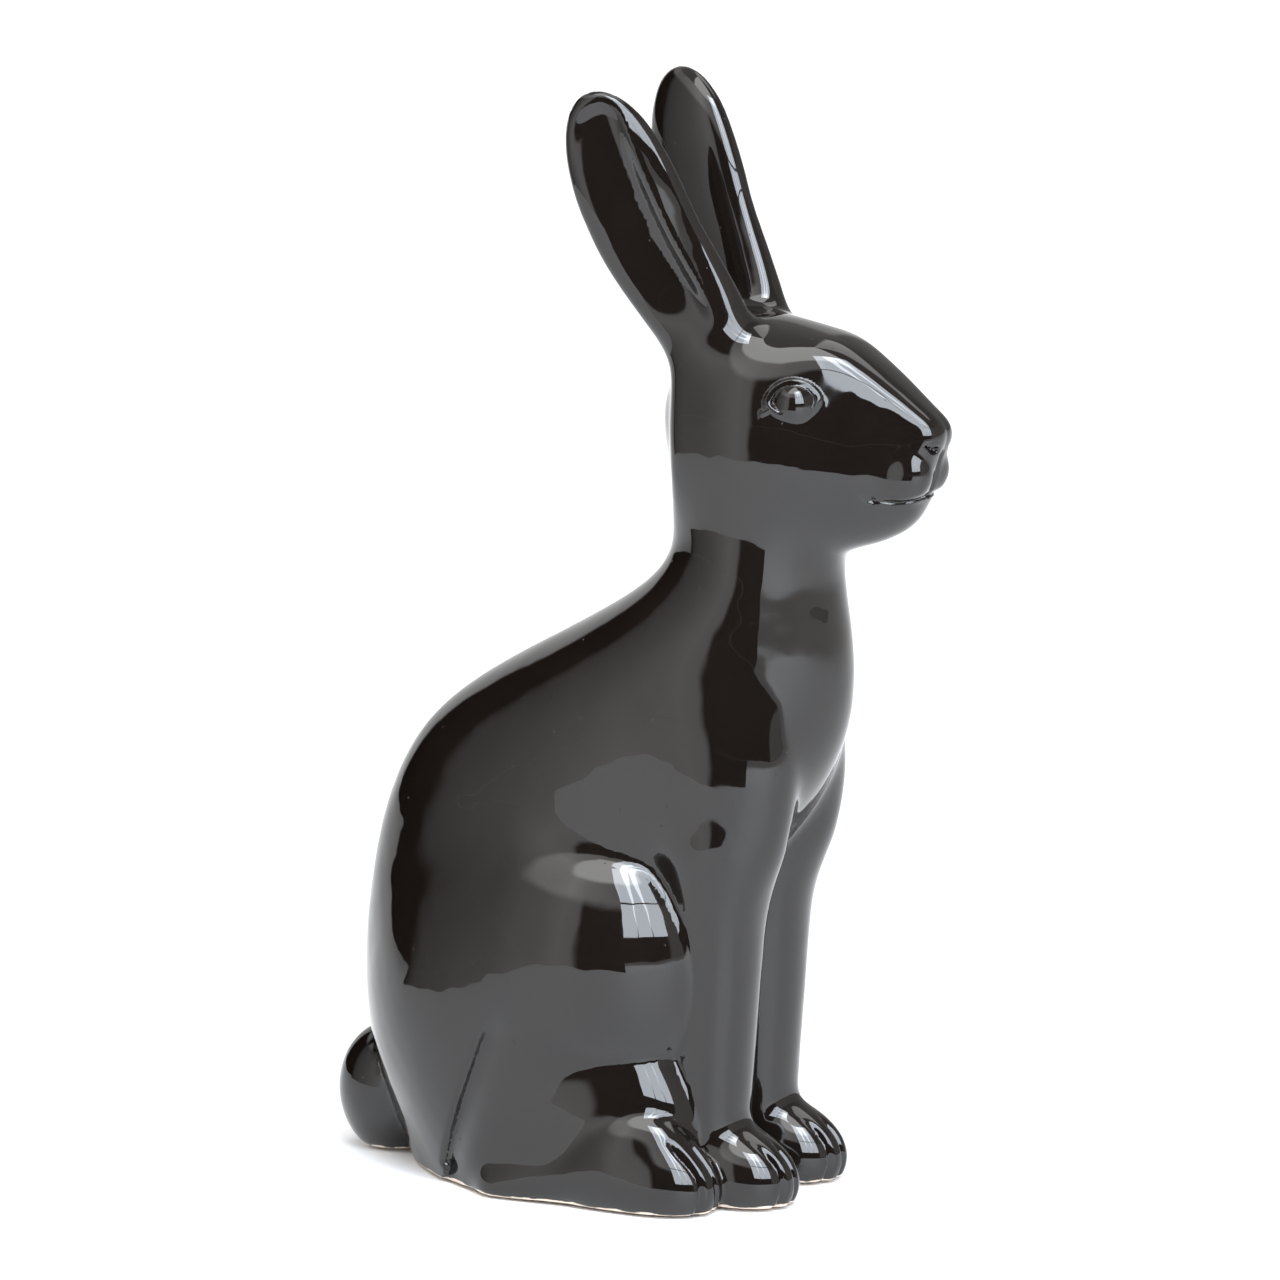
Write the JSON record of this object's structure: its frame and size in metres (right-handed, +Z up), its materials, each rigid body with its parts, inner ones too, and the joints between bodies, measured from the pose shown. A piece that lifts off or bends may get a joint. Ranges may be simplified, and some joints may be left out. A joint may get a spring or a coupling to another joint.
{
  "type": "seated hare figurine",
  "caption": "Free-standing hollow ceramic hare sitting upright, ears raised, with a closed base on felt pads.",
  "frame": {"origin": "centre of the overall box, on the surface that the figurine stands on", "axes": "the hare faces -Y, its left side is +X, +Z is up"},
  "size_m": [0.096, 0.1917, 0.3213],
  "materials": {
    "black_glaze": "gloss",
    "bisque": "matte",
    "felt": "matte"
  },
  "bodies": {
    "root": {"body_casting": "black_glaze", "ear_left": "black_glaze", "ear_right": "black_glaze", "tail": "black_glaze", "foreleg_left": "black_glaze", "foreleg_right": "black_glaze", "base_plate": "bisque", "felt_pad_front_left": "felt", "felt_pad_front_right": "felt", "felt_pad_rear_left": "felt", "felt_pad_rear_right": "felt"}
  },
  "joints": []
}
